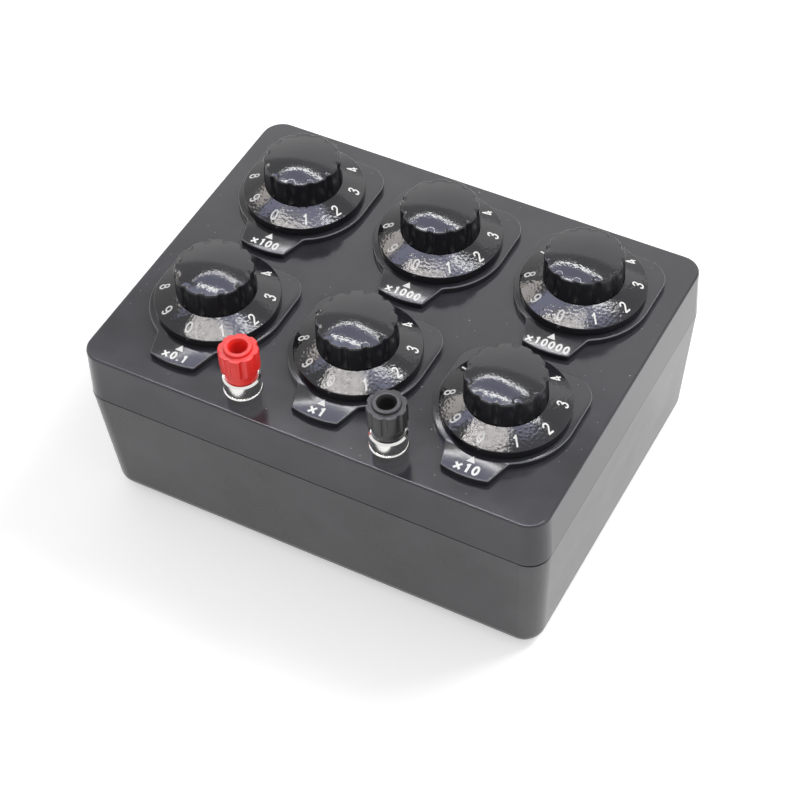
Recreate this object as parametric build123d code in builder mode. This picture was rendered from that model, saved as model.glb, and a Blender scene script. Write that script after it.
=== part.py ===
"""Resistance decade box: six dials in two rows and two binding posts on a moulded two-part case.

Millimetres, +Z up, +Y to the back. The origin is the middle of the footprint, on the table.
Everything that belongs to one dial is made round its own axis, with z = 0 on the panel, and then
put in place.
"""
import os
from math import asin, atan2, cos, degrees, radians, sin

from build123d import *

# Case
panel_width = 160.0
panel_depth = 122.0
panel_corner = 7.0
panel_edge = 0.8
cover_side = 18.0
cover_flare = 0.5
cover_top = 3.0
cover_wall = 2.4
lower_height = 46.5
lower_taper = 3.0
lower_corner = 7.0
lower_edge = 6.0
lower_inner_edge = 3.0
lower_wall = 2.6
lower_floor = 2.6
parting_step = 0.1
parting_gap = 0.5
parting_gap_depth = 1.0

# Lip that centres the cover on the lower case
lip_height = 2.5
lip_root = 3.0
lip_thickness = 1.3
lip_clearance = 0.15

# Case screws and feet
screw_inset = 11.0
screw_pillar_radius = 4.0
screw_grip = 20.5
screw_head_radius = 2.75
screw_head_height = 2.0
screw_head_round = 0.9
screw_shank_radius = 1.45
screw_length = 30.0
screw_point = 0.7
screw_recess_depth = 1.1
screw_recess_radius = 1.3
screw_recess_width = 0.65
screw_clearance = 0.35
pilot_clearance = 0.02
foot_inset_x = 26.0
foot_inset_y = 17.0
foot_radius = 5.5
foot_height = 1.8
foot_recess = 0.8
foot_clearance = 0.1
foot_chamfer = 0.4

# Dials: two rows of three, with the free room between and round the plates shared out
column_gap_share = 0.234
row_gap_share = 0.234
back_gap_share = 0.405
positions_per_turn = 10
front_angle = -90.0
knob_turn = 12.0

# Scale plate under each dial
plate_radius = 22.1
plate_back = 20.8
plate_corner = 9.0
plate_thickness = 2.2
plate_edge = 0.35
tab_length = 7.2
tab_root_angle = 28.5
tab_root_depth = 0.1
tab_front_width = 15.8
tab_bulge = 1.1
tab_corner = 0.8
tab_blend = 2.0
peg_radius = 1.2
peg_length = 2.0
peg_offset = 2.2
peg_clearance = 0.1

# Dial skirt with the numbers
skirt_inset = 1.9
skirt_rim_height = 5.2
skirt_rim_chamfer = 0.3
skirt_gap = 0.35
skirt_wall = 1.4
skirt_thickness = 1.7
skirt_crown = 8.0
skirt_core_radius = 11.5
skirt_core_floor = 5.6

# Knob
knob_foot_radius = 12.9
knob_rim_radius = 12.6
knob_rim_height = 16.8
knob_edge_inset = 1.0
knob_edge_height = 17.5
knob_edge_round = 1.0
knob_crown = 18.7
knob_wall = 2.2
knob_roof = 3.0
groove_count = 12
groove_radius = 2.0
groove_depth = 0.6
groove_overrun = 1.5
hub_radius = 5.0
hub_foot = 5.45
hub_clearance = 0.05
rib_width = 6.4

# Shaft, grub screw and bush
shaft_radius = 3.0
shaft_top = 14.2
shaft_bottom = 24.0
shaft_fit = 0.06
shaft_seat = 0.02
shaft_flat_depth = 0.5
shaft_flat_length = 6.5
grub_radius = 1.5
grub_length = 5.0
grub_height = 11.4
grub_socket = 0.75
grub_socket_depth = 2.0
bush_radius = 4.4
bush_top = 5.0
bush_flange_radius = 7.0
bush_flange_height = 2.0
bush_hole_clearance = 0.1
bush_nut_flats = 12.0
bush_nut_height = 2.3
thread_seat = 0.02

# Switch under the panel
index_radius = 11.0
index_height = 6.0
index_edge = 0.8
index_bore_clearance = 0.3
ear_reach = 16.2
ear_width = 6.0
ear_thickness = 1.6
spacer_pitch = 13.9
spacer_radius = 1.4
spacer_length = 10.0
deck_radius = 16.5
deck_thickness = 1.6
deck_bore_clearance = 0.5
stud_ring = 10.4
stud_length = 3.4
stud_width = 2.4
stud_height = 0.3
collector_inner = 4.4
collector_outer = 7.4
wiper_gap = 0.2
wiper_hub_radius = 5.2
wiper_hub_height = 4.0
wiper_width = 4.4
wiper_tip_width = 1.8
wiper_reach = 11.9
wiper_thickness = 0.7
card_count = 9
card_ring = 12.6
card_width = 6.2
card_thickness = 1.2
card_height = 16.0
card_notch = 0.7
card_margin = 2.0

# Binding posts
post_margin = 9.7
post_flange_radius = 6.2
post_flange_height = 2.3
post_flange_round = 0.5
post_groove_radius = 5.5
post_groove_height = 0.5
post_ring_radius = 5.95
post_base_height = 7.4
post_ring_chamfer = 0.6
stud_thread_radius = 3.4
stud_top = 13.2
shank_radius = 3.0
shank_length = 11.0
shank_hole_clearance = 0.1
socket_radius = 2.02
socket_depth = 18.2
cap_gap = 0.1
cap_foot_radius = 5.05
cap_foot_height = 2.9
cap_flare_height = 1.2
cap_radius = 6.25
cap_shoulder = 18.9
cap_edge = 0.3
cap_top = 20.0
cap_ring_radius = 4.4
cap_ring_edge = 0.35
cap_mouth_radius = 3.1
cap_throat_radius = 2.6
cap_mouth_depth = 1.2
cap_grooves = 8
cap_groove_radius = 1.3
cap_groove_depth = 0.65
cap_turns = {"red": -3.0, "black": 20.0}
insert_radius = 4.2
insert_inset = 0.5
insert_fit = 0.05
stud_fit = 0.08
stud_head_gap = 0.4
post_nut_flats = 10.0
post_nut_height = 3.0
lock_nut_height = 2.4
tag_radius = 5.2
tag_thickness = 0.7
tag_length = 10.0
tag_width = 4.0

# Link wires
wire_radius = 0.7
wire_drop = 3.0
wire_ring = 15.0

# Heights and places that follow
underside_z = foot_height - foot_recess
parting_z = underside_z + lower_height
panel_z = parting_z + cover_side
cover_width = panel_width + 2 * cover_flare
cover_depth = panel_depth + 2 * cover_flare
tab_reach = plate_radius + tab_length
peg_reach = plate_radius + peg_offset
skirt_radius = plate_radius - skirt_inset
plate_length = plate_back + tab_reach
free_width = panel_width - 6 * plate_radius
free_depth = panel_depth - 2 * plate_length
column_pitch = 2 * plate_radius + column_gap_share * free_width
row_pitch = plate_length + row_gap_share * free_depth
back_row_y = panel_depth / 2 - plate_back - back_gap_share * free_depth
front_row_y = back_row_y - row_pitch
dials = {
    "x0_1": (-column_pitch, front_row_y),
    "x1": (0.0, front_row_y),
    "x10": (column_pitch, front_row_y),
    "x100": (-column_pitch, back_row_y),
    "x1000": (0.0, back_row_y),
    "x10000": (column_pitch, back_row_y),
}
posts = {
    "red": (-column_pitch / 2, post_margin - panel_depth / 2),
    "black": (column_pitch / 2, post_margin - panel_depth / 2),
}
dial_places = list(dials.values())
post_places = list(posts.values())
screw_x = panel_width / 2 - screw_inset
screw_y = panel_depth / 2 - screw_inset
foot_x = panel_width / 2 - foot_inset_x
foot_y = panel_depth / 2 - foot_inset_y
screw_hole_radius = screw_shank_radius + screw_clearance
screw_seat_z = parting_z - screw_grip
bush_hole_radius = bush_radius + bush_hole_clearance
shank_hole_radius = shank_radius + shank_hole_clearance
peg_hole_radius = peg_radius + peg_clearance
shaft_hole_radius = shaft_radius + shaft_seat
cover_underside = -cover_top
bush_foot = cover_underside - bush_flange_height
index_foot = bush_foot - index_height
deck_top = index_foot - spacer_length
deck_foot = deck_top - deck_thickness
wiper_foot = deck_top + stud_height + wiper_gap
step = 360.0 / positions_per_turn
rear_angle = front_angle + 180.0


def tilted(reach, angle, height, lean):
    """A plane at a distance from the axis, its normal leaning towards the axis as it rises."""
    across = radians(angle)
    inward = sin(radians(lean))
    normal = (-inward * cos(across), -inward * sin(across), cos(radians(lean)))
    return Plane(origin=(reach * cos(across), reach * sin(across), height), z_dir=normal)


def placed(part, x, y, turn=0.0):
    """A copy of a piece made round a dial's or a post's own axis, in its place on the panel."""
    return part.moved(Location((x, y, panel_z), (0, 0, turn)))


def save(part, name):
    """Labels a finished piece and writes it."""
    part.label = name
    export_step(part, f"parts/{name}.step")


def save_group(pieces, name):
    """Writes separate solids of one kind as one node."""
    save(Compound(children=pieces), name)


os.makedirs("parts", exist_ok=True)

# Top cover: side walls that flare a little towards the parting line, screw bosses and the panel's holes
cover_lean = degrees(atan2(cover_flare, cover_side))
with BuildPart() as top_cover:
    with BuildSketch(Plane.XY.offset(parting_z)):
        RectangleRounded(cover_width, cover_depth, panel_corner + cover_flare)
    extrude(amount=cover_side, taper=cover_lean)
    fillet(top_cover.faces().sort_by(Axis.Z)[-1].edges(), panel_edge)
    with BuildSketch(Plane.XY.offset(parting_z)):
        inner_corner = panel_corner + cover_flare - cover_wall
        RectangleRounded(cover_width - 2 * cover_wall, cover_depth - 2 * cover_wall, inner_corner)
    extrude(amount=cover_side - cover_top, taper=cover_lean, mode=Mode.SUBTRACT)
    with BuildSketch(Plane.XY.offset(parting_z)):
        with GridLocations(2 * screw_x, 2 * screw_y, 2, 2):
            Circle(screw_pillar_radius)
    extrude(amount=cover_side - cover_top / 2)
    with BuildSketch(Plane.XY.offset(parting_z)):
        with GridLocations(2 * screw_x, 2 * screw_y, 2, 2):
            Circle(screw_shank_radius + pilot_clearance)
    extrude(amount=cover_side - cover_top, mode=Mode.SUBTRACT)
    with BuildSketch(Plane.XY.offset(panel_z)):
        with Locations(*dial_places):
            Circle(bush_hole_radius)
        with Locations(*post_places):
            Circle(shank_hole_radius)
    extrude(amount=-cover_top, mode=Mode.SUBTRACT)
    with BuildSketch(Plane.XY.offset(panel_z)):
        with Locations(*[(x, y - peg_reach) for x, y in dial_places]):
            Circle(peg_hole_radius)
    extrude(amount=-peg_length - peg_clearance, mode=Mode.SUBTRACT)
save(top_cover.part, "top_cover")

# Lower case: tapered tub with a rounded bottom edge, a seat for the cover, a centring lip and screw pillars
lower_width = cover_width - 2 * parting_step
lower_depth = cover_depth - 2 * parting_step
tub_floor_z = underside_z + lower_floor
floor_share = (parting_z - tub_floor_z) / lower_height
floor_inset = 2 * (lower_wall + lower_taper * floor_share)
with BuildPart() as tub_hollow:
    with BuildSketch(Plane.XY.offset(tub_floor_z)):
        RectangleRounded(lower_width - floor_inset, lower_depth - floor_inset, lower_corner - lower_wall)
    with BuildSketch(Plane.XY.offset(parting_z)):
        mouth = 2 * lower_wall
        RectangleRounded(lower_width - mouth, lower_depth - mouth, lower_corner - lower_wall)
    loft(ruled=True)
    fillet(tub_hollow.faces().sort_by(Axis.Z)[0].edges(), lower_inner_edge)
with BuildPart() as lower_case:
    with BuildSketch(Plane.XY.offset(underside_z)):
        RectangleRounded(lower_width - 2 * lower_taper, lower_depth - 2 * lower_taper, lower_corner)
    with BuildSketch(Plane.XY.offset(parting_z - parting_gap)):
        RectangleRounded(lower_width, lower_depth, lower_corner)
    loft(ruled=True)
    fillet(lower_case.faces().sort_by(Axis.Z)[0].edges(), lower_edge)
    with BuildSketch(Plane.XY.offset(parting_z - parting_gap)):
        seat = 2 * parting_gap_depth
        RectangleRounded(lower_width - seat, lower_depth - seat, lower_corner - parting_gap_depth)
    extrude(amount=parting_gap)
    add(tub_hollow.part, mode=Mode.SUBTRACT)
    with BuildSketch(Plane.XY.offset(parting_z - lip_root)):
        lip_inset = 2 * (cover_wall + lip_clearance)
        lip_corner = panel_corner + cover_flare - cover_wall - lip_clearance
        RectangleRounded(cover_width - lip_inset, cover_depth - lip_inset, lip_corner)
        offset(amount=-lip_thickness, mode=Mode.SUBTRACT)
    extrude(amount=lip_root + lip_height)
    with BuildSketch(Plane.XY.offset(underside_z + lower_floor / 2)):
        with GridLocations(2 * screw_x, 2 * screw_y, 2, 2):
            Circle(screw_pillar_radius)
    extrude(amount=lower_height - lower_floor / 2)
    with BuildSketch(Plane.XY.offset(underside_z)):
        with GridLocations(2 * screw_x, 2 * screw_y, 2, 2):
            Circle(screw_hole_radius)
    extrude(amount=lower_height, mode=Mode.SUBTRACT)
    with BuildSketch(Plane.XY.offset(underside_z)):
        with GridLocations(2 * screw_x, 2 * screw_y, 2, 2):
            Circle(screw_head_radius + screw_clearance)
    extrude(amount=screw_seat_z - underside_z, mode=Mode.SUBTRACT)
    with BuildSketch(Plane.XY.offset(underside_z)):
        with GridLocations(2 * foot_x, 2 * foot_y, 2, 2):
            Circle(foot_radius + foot_clearance)
    extrude(amount=foot_recess, mode=Mode.SUBTRACT)
save(lower_case.part, "lower_case")

# Case screw: pan head with a cross recess, driven from below into the cover's boss
with BuildPart() as case_screw:
    with BuildSketch():
        Circle(screw_head_radius)
    extrude(amount=-screw_head_height)
    fillet(case_screw.edges().sort_by(Axis.Z)[0], screw_head_round)
    with BuildSketch():
        Circle(screw_shank_radius)
    extrude(amount=screw_length)
    chamfer(case_screw.edges().sort_by(Axis.Z)[-1], screw_point)
    with BuildSketch(Plane.XY.offset(-screw_head_height)):
        Rectangle(2 * screw_recess_radius, screw_recess_width)
        Rectangle(screw_recess_width, 2 * screw_recess_radius)
    extrude(amount=screw_recess_depth, mode=Mode.SUBTRACT)
screw_places = [(x, y) for x in (-screw_x, screw_x) for y in (-screw_y, screw_y)]
save_group([case_screw.part.moved(Location((x, y, screw_seat_z))) for x, y in screw_places], "case_screws")

# Rubber foot, set in a shallow recess
with BuildPart() as rubber_foot:
    with BuildSketch():
        Circle(foot_radius)
    extrude(amount=foot_height)
    chamfer(rubber_foot.edges().sort_by(Axis.Z)[0], foot_chamfer)
foot_places = [(x, y) for x in (-foot_x, foot_x) for y in (-foot_y, foot_y)]
save_group([rubber_foot.part.moved(Location((x, y, 0))) for x, y in foot_places], "rubber_feet")

# Scale plate: half round in front, rounded back corners, and a tab for the multiplier
with BuildPart() as scale_plate:
    with BuildSketch():
        Circle(plate_radius)
        with BuildSketch(mode=Mode.PRIVATE) as back_half:
            with Locations((0, plate_back / 2)):
                Rectangle(2 * plate_radius, plate_back)
            fillet(back_half.vertices().group_by(Axis.Y)[-1], plate_corner)
        add(back_half.sketch)
        with BuildSketch(mode=Mode.PRIVATE) as behind:
            with Locations((0, plate_back + plate_radius / 2)):
                Rectangle(2 * plate_radius, plate_radius)
        add(behind.sketch, mode=Mode.SUBTRACT)
        with BuildLine():
            front = tab_bulge - tab_reach
            root_radius = plate_radius - tab_root_depth
            root_x = root_radius * sin(radians(tab_root_angle))
            root_y = -root_radius * cos(radians(tab_root_angle))
            Polyline(
                (-tab_front_width / 2, front),
                (-root_x, root_y),
                (root_x, root_y),
                (tab_front_width / 2, front),
            )
            ThreePointArc((tab_front_width / 2, front), (0, -tab_reach), (-tab_front_width / 2, front))
        make_face()
    extrude(amount=plate_thickness)
    upright = scale_plate.edges().filter_by(Axis.Z).group_by(Axis.Y)
    fillet(upright[0], tab_corner)
    upright = scale_plate.edges().filter_by(Axis.Z).group_by(Axis.Y)
    fillet(upright[2], tab_blend)
    chamfer(scale_plate.faces().sort_by(Axis.Z)[-1].edges(), plate_edge)
    with BuildSketch():
        Circle(bush_hole_radius)
    extrude(amount=plate_thickness, mode=Mode.SUBTRACT)
    with BuildSketch():
        with Locations((0, -peg_reach)):
            Circle(peg_radius)
    extrude(amount=-peg_length)

# Dial skirt: a shallow cone that carries the numbers, turned down at its rim
with BuildPart() as dial_skirt:
    with BuildSketch(Plane.XZ):
        with BuildLine():
            bore = hub_radius + hub_clearance
            rim_foot = plate_thickness + skirt_gap
            wall_inside = skirt_radius - skirt_wall
            Polyline(
                (bore, skirt_crown),
                (knob_foot_radius, skirt_crown),
                (skirt_radius - skirt_rim_chamfer, skirt_rim_height),
                (skirt_radius, skirt_rim_height - skirt_rim_chamfer),
                (skirt_radius, rim_foot),
                (wall_inside, rim_foot),
                (wall_inside, skirt_rim_height - skirt_thickness + 2 * skirt_rim_chamfer),
                (knob_foot_radius, skirt_crown - skirt_thickness),
                (skirt_core_radius, skirt_core_floor),
                (bore, skirt_core_floor),
                close=True,
            )
        make_face()
    revolve(axis=Axis.Z)

# Knob: a cup with a domed top, grooves round its wall, a hub and a rib for the grub screw
knob_lean = degrees(atan2(knob_foot_radius - knob_rim_radius, knob_rim_height - skirt_crown))
groove_start = skirt_crown - groove_overrun
groove_run = knob_crown + groove_overrun - groove_start
groove_reach = knob_foot_radius + groove_radius - groove_depth
dome_rise = knob_crown - knob_edge_height
dome_reach = knob_rim_radius - knob_edge_inset
dome_radius = (dome_reach**2 + dome_rise**2) / (2 * dome_rise)
dome_span = degrees(asin(dome_reach / dome_radius))
dome_start = degrees(atan2(dome_radius - dome_rise, dome_reach))
with BuildPart() as knob:
    with BuildSketch(Plane.XZ):
        with BuildLine():
            rim = (knob_rim_radius, knob_rim_height)
            shoulder = (knob_rim_radius - knob_edge_inset, knob_edge_height)
            Line((0, skirt_crown), (knob_foot_radius, skirt_crown))
            Line((knob_foot_radius, skirt_crown), rim)
            RadiusArc(rim, shoulder, -knob_edge_round)
            CenterArc((0, knob_crown - dome_radius), dome_radius, dome_start, dome_span)
            Line((0, knob_crown), (0, skirt_crown))
        make_face()
    revolve(axis=Axis.Z)
    for groove in range(groove_count):
        across = rear_angle + groove * 360 / groove_count
        with BuildSketch(tilted(groove_reach, across, groove_start, knob_lean)):
            Circle(groove_radius)
        extrude(amount=groove_run, mode=Mode.SUBTRACT)
    knob_inside = knob_rim_radius - knob_wall
    with BuildSketch(Plane.XY.offset(skirt_crown)):
        Circle(knob_inside)
        Circle(hub_radius, mode=Mode.SUBTRACT)
        with Locations((0, knob_inside / 2 + hub_radius / 2)):
            Rectangle(rib_width, knob_inside, mode=Mode.SUBTRACT)
    extrude(amount=knob_edge_height - knob_roof - skirt_crown, mode=Mode.SUBTRACT)
    with BuildSketch(Plane.XY.offset(hub_foot)):
        Circle(hub_radius)
    extrude(amount=skirt_crown - hub_foot)
    with BuildSketch(Plane.XY.offset(hub_foot)):
        Circle(shaft_hole_radius)
    extrude(amount=shaft_top - hub_foot, mode=Mode.SUBTRACT)
    with BuildSketch(Plane.XZ.offset(-shaft_radius / 2)):
        with Locations((0, grub_height)):
            Circle(grub_radius + thread_seat)
    extrude(amount=-knob_foot_radius, mode=Mode.SUBTRACT)

# Shaft, with a flat for the grub screw near its top
flat_reach = shaft_radius - shaft_flat_depth
with BuildPart() as shaft:
    with BuildSketch(Plane.XY.offset(-shaft_bottom)):
        Circle(shaft_radius)
    extrude(amount=shaft_bottom + shaft_top)
    with BuildSketch(Plane.XY.offset(shaft_top)):
        with Locations((0, flat_reach + shaft_radius / 2)):
            Rectangle(2 * shaft_radius, shaft_radius)
    extrude(amount=-shaft_flat_length, mode=Mode.SUBTRACT)

# Grub screw with a hexagon socket
with BuildPart() as grub_screw:
    with BuildSketch(Plane.XZ.offset(-flat_reach)):
        with Locations((0, grub_height)):
            Circle(grub_radius)
    extrude(amount=-grub_length)
    with BuildSketch(Plane.XZ.offset(-flat_reach - grub_length)):
        with Locations((0, grub_height)):
            RegularPolygon(grub_socket, 6)
    extrude(amount=grub_socket_depth, mode=Mode.SUBTRACT)

# Bush: threaded barrel through the panel and the plate, with its flange under the panel
with BuildPart() as bush:
    with BuildSketch(Plane.XY.offset(bush_foot)):
        Circle(bush_flange_radius)
    extrude(amount=bush_flange_height)
    with BuildSketch(Plane.XY.offset(bush_foot)):
        Circle(bush_radius)
    extrude(amount=bush_top - bush_foot)
    with BuildSketch(Plane.XY.offset(bush_foot)):
        Circle(shaft_radius + shaft_fit)
    extrude(amount=bush_top - bush_foot, mode=Mode.SUBTRACT)

# Bush nut, clamping the plate and the panel against the flange
with BuildPart() as bush_nut:
    with BuildSketch(Plane.XY.offset(plate_thickness)):
        RegularPolygon(bush_nut_flats / 2, 6, major_radius=False)
        Circle(bush_radius + thread_seat, mode=Mode.SUBTRACT)
    extrude(amount=bush_nut_height)

# Index housing: a closed can under the bush with two ears for the spacers
with BuildPart() as index_housing:
    with BuildSketch(Plane.XY.offset(index_foot)):
        Circle(index_radius)
    extrude(amount=index_height)
    chamfer(index_housing.faces().sort_by(Axis.Z)[-1].edges(), index_edge)
    with BuildSketch(Plane.XY.offset(index_foot)):
        SlotOverall(2 * ear_reach, ear_width)
    extrude(amount=ear_thickness)
    with BuildSketch(Plane.XY.offset(index_foot)):
        Circle(shaft_radius + index_bore_clearance)
    extrude(amount=index_height, mode=Mode.SUBTRACT)

# Spacer between the index housing's ear and the deck
with BuildPart() as deck_spacer:
    with BuildSketch(Plane.XY.offset(deck_top)):
        Circle(spacer_radius)
    extrude(amount=spacer_length)

# Deck: round insulating board that carries the contacts
with BuildPart() as switch_deck:
    with BuildSketch(Plane.XY.offset(deck_foot)):
        Circle(deck_radius)
        Circle(shaft_radius + deck_bore_clearance, mode=Mode.SUBTRACT)
    extrude(amount=deck_thickness)

# Contact studs: one for each position, the first one in front
with BuildPart() as contact_studs:
    with BuildSketch(Plane.XY.offset(deck_top)):
        with PolarLocations(stud_ring, positions_per_turn, start_angle=front_angle):
            Rectangle(stud_length, stud_width)
    extrude(amount=stud_height)

# Collector ring that the wiper's heel runs on
with BuildPart() as collector_ring:
    with BuildSketch(Plane.XY.offset(deck_top)):
        Circle(collector_outer)
        Circle(collector_inner, mode=Mode.SUBTRACT)
    extrude(amount=stud_height)

# Wiper: a hub pressed on the shaft and a tapering arm that reaches the studs
with BuildPart() as wiper:
    with BuildSketch(Plane.XY.offset(wiper_foot)):
        Circle(wiper_hub_radius)
    extrude(amount=wiper_hub_height)
    with BuildSketch(Plane.XY.offset(wiper_foot)):
        Polygon(
            (-wiper_width / 2, 0),
            (-wiper_tip_width / 2, -wiper_reach),
            (wiper_tip_width / 2, -wiper_reach),
            (wiper_width / 2, 0),
            align=None,
        )
    extrude(amount=wiper_thickness)
    with BuildSketch(Plane.XY.offset(wiper_foot)):
        Circle(shaft_hole_radius)
    extrude(amount=wiper_hub_height, mode=Mode.SUBTRACT)

# Resistance card: a flat insulating card, waisted where the wire is wound
with BuildPart() as resistance_card:
    with BuildSketch(Plane.XY.offset(deck_foot - card_height)):
        Rectangle(card_thickness, card_width)
    extrude(amount=card_height)
    with BuildSketch(Plane.XY.offset(deck_foot - card_height + card_margin)):
        with Locations((0, card_width / 2), (0, -card_width / 2)):
            Rectangle(card_thickness, 2 * card_notch)
    extrude(amount=card_height - 2 * card_margin, mode=Mode.SUBTRACT)
card_turns = [front_angle + step * (card + 0.5) for card in range(card_count)]
cards = [resistance_card.part.moved(Location((0, 0, 0), (0, 0, turn)) * Location((card_ring, 0, 0)))
         for turn in card_turns]

# Binding post body: grooved base, hollow threaded stud above and shank below, turned in one piece
with BuildPart() as post_body:
    with BuildSketch(Plane.XZ):
        with BuildLine():
            flange_low = post_flange_height - post_flange_round
            ring_foot = post_flange_height + post_groove_height
            ring_top = post_base_height - post_ring_chamfer
            Polyline(
                (0, -shank_length),
                (shank_radius, -shank_length),
                (shank_radius, 0),
                (post_flange_radius, 0),
                (post_flange_radius, flange_low),
            )
            flange_inner = (post_flange_radius - post_flange_round, post_flange_height)
            RadiusArc((post_flange_radius, flange_low), flange_inner, -post_flange_round)
            Polyline(
                flange_inner,
                (post_groove_radius, post_flange_height),
                (post_groove_radius, ring_foot),
                (post_ring_radius, ring_foot),
                (post_ring_radius, ring_top),
                (post_ring_radius - post_ring_chamfer, post_base_height),
                (stud_thread_radius, post_base_height),
                (stud_thread_radius, stud_top),
                (0, stud_top),
                (0, -shank_length),
            )
        make_face()
    revolve(axis=Axis.Z)
    with BuildSketch(Plane.XY.offset(stud_top)):
        Circle(socket_radius)
    extrude(amount=-socket_depth, mode=Mode.SUBTRACT)

# Threaded insert, moulded into the cap and running on the stud
cap_foot = post_base_height + cap_gap
cap_flare_foot = cap_foot + cap_foot_height
insert_top = stud_top + stud_head_gap
with BuildPart() as post_insert:
    with BuildSketch(Plane.XY.offset(cap_foot + insert_inset)):
        Circle(insert_radius - insert_fit)
        Circle(stud_thread_radius + stud_fit, mode=Mode.SUBTRACT)
    extrude(amount=insert_top - cap_foot - insert_inset)

# Post cap: plain foot, grooved grip and a raised ring round the socket's mouth
cap_groove_reach = cap_radius + cap_groove_radius - cap_groove_depth
with BuildPart() as post_cap:
    with BuildSketch(Plane.XZ):
        with BuildLine():
            Polyline(
                (cap_throat_radius, insert_top),
                (insert_radius, insert_top),
                (insert_radius, cap_foot),
                (cap_foot_radius, cap_foot),
                (cap_foot_radius, cap_flare_foot),
                (cap_radius, cap_flare_foot + cap_flare_height),
                (cap_radius, cap_shoulder - cap_edge),
                (cap_radius - cap_edge, cap_shoulder),
                (cap_ring_radius, cap_shoulder),
                (cap_ring_radius, cap_top - cap_ring_edge),
                (cap_ring_radius - cap_ring_edge, cap_top),
                (cap_mouth_radius, cap_top),
                (cap_throat_radius, cap_top - cap_mouth_depth),
                close=True,
            )
        make_face()
    revolve(axis=Axis.Z)
    with BuildSketch(Plane.XY.offset(cap_flare_foot)):
        with PolarLocations(cap_groove_reach, cap_grooves, start_angle=front_angle):
            Circle(cap_groove_radius)
    extrude(amount=cap_shoulder - cap_flare_foot, mode=Mode.SUBTRACT)

# Nuts and solder tag on the shank, under the panel
tag_top = cover_underside - post_nut_height
tag_foot = tag_top - tag_thickness
nut_levels = ((tag_top, post_nut_height), (tag_foot - lock_nut_height, lock_nut_height))
post_nuts = []
for level, height in nut_levels:
    with BuildPart() as post_nut:
        with BuildSketch(Plane.XY.offset(level)):
            RegularPolygon(post_nut_flats / 2, 6, major_radius=False)
            Circle(shank_radius + thread_seat, mode=Mode.SUBTRACT)
        extrude(amount=height)
    post_nuts += [placed(post_nut.part, x, y) for x, y in post_places]
with BuildPart() as solder_tag:
    with BuildSketch(Plane.XY.offset(tag_foot)):
        Circle(tag_radius)
        with Locations((0, tag_length / 2)):
            Rectangle(tag_width, tag_length)
        Circle(shank_radius + thread_seat, mode=Mode.SUBTRACT)
    extrude(amount=tag_thickness)

# Link wires: from deck to deck in the order of the circuit, and from the end decks to the posts
chain = ["x1", "x0_1", "x100", "x1000", "x10000", "x10"]


def deck_end(name, towards_x, towards_y):
    """The point under a deck's rim, on the side of a place that a wire goes to."""
    x, y = dials[name]
    angle = atan2(towards_y - y, towards_x - x)
    return x + wire_ring * cos(angle), y + wire_ring * sin(angle)


def link_wire(start, start_z, end, end_z, run_z):
    """A round wire: straight down or up at its two ends, straight across between them."""
    with BuildPart() as wire:
        with BuildLine() as route:
            Polyline((*start, start_z), (*start, run_z), (*end, run_z), (*end, end_z))
        with BuildSketch(Plane(origin=(*start, start_z), z_dir=(0, 0, -1))):
            Circle(wire_radius)
        sweep(path=route.wires()[0], transition=Transition.RIGHT)
    return wire.part


deck_foot_z = panel_z + deck_foot
run_z = deck_foot_z - wire_drop
wires = []
for first, second in zip(chain, chain[1:]):
    start = deck_end(first, *dials[second])
    end = deck_end(second, *dials[first])
    wires.append(link_wire(start, deck_foot_z, end, deck_foot_z, run_z))
for name, post in ((chain[0], "red"), (chain[-1], "black")):
    post_x, post_y = posts[post]
    tag_end = (post_x, post_y + tag_length - wire_radius - tag_thickness)
    start = deck_end(name, *tag_end)
    wires.append(link_wire(start, deck_foot_z, tag_end, panel_z + tag_foot, run_z))
save_group(wires, "link_wires")

# One set for every dial, written to the node of its decade or to the group of its kind
for name, (x, y) in dials.items():
    save(placed(scale_plate.part, x, y), f"scale_plate_{name}")
    save(placed(dial_skirt.part, x, y), f"dial_skirt_{name}")
    save(placed(knob.part, x, y, knob_turn), f"knob_{name}")
    save(placed(shaft.part, x, y, knob_turn), f"shaft_{name}")
    save(placed(grub_screw.part, x, y, knob_turn), f"grub_screw_{name}")
    save(placed(wiper.part, x, y), f"wiper_{name}")
save_group([placed(bush.part, x, y) for x, y in dial_places], "bushes")
save_group([placed(bush_nut.part, x, y) for x, y in dial_places], "bush_nuts")
save_group([placed(index_housing.part, x, y) for x, y in dial_places], "index_housings")
save_group([placed(switch_deck.part, x, y) for x, y in dial_places], "switch_decks")
save_group([placed(collector_ring.part, x, y) for x, y in dial_places], "collector_rings")
studs = contact_studs.part.solids()
save_group([placed(stud, x, y) for x, y in dial_places for stud in studs], "contact_studs")
save_group([placed(card, x, y) for x, y in dial_places for card in cards], "resistance_cards")
spacer_places = [(x + side * spacer_pitch, y) for x, y in dial_places for side in (-1, 1)]
save_group([placed(deck_spacer.part, x, y) for x, y in spacer_places], "deck_spacers")

# The two posts
for colour, (x, y) in posts.items():
    save(placed(post_body.part, x, y), f"post_body_{colour}")
    save(placed(post_insert.part, x, y), f"post_insert_{colour}")
    save(placed(post_cap.part, x, y, cap_turns[colour]), f"post_cap_{colour}")
save_group(post_nuts, "post_nuts")
save_group([placed(solder_tag.part, x, y) for x, y in post_places], "solder_tags")
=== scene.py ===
"""Looks of a bench resistance decade box: six numbered dials and two binding posts on a moulded case.

Metres, +Z up, +Y to the back, the origin on the table under the middle of the case.
A dial and a post are built round their own upright axis, with z = 0 on the panel.
"""

import logging
import math
from dataclasses import dataclass, field
from enum import Enum
from typing import Sequence

import bmesh
import bpy
from mathutils import Matrix, Vector


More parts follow.
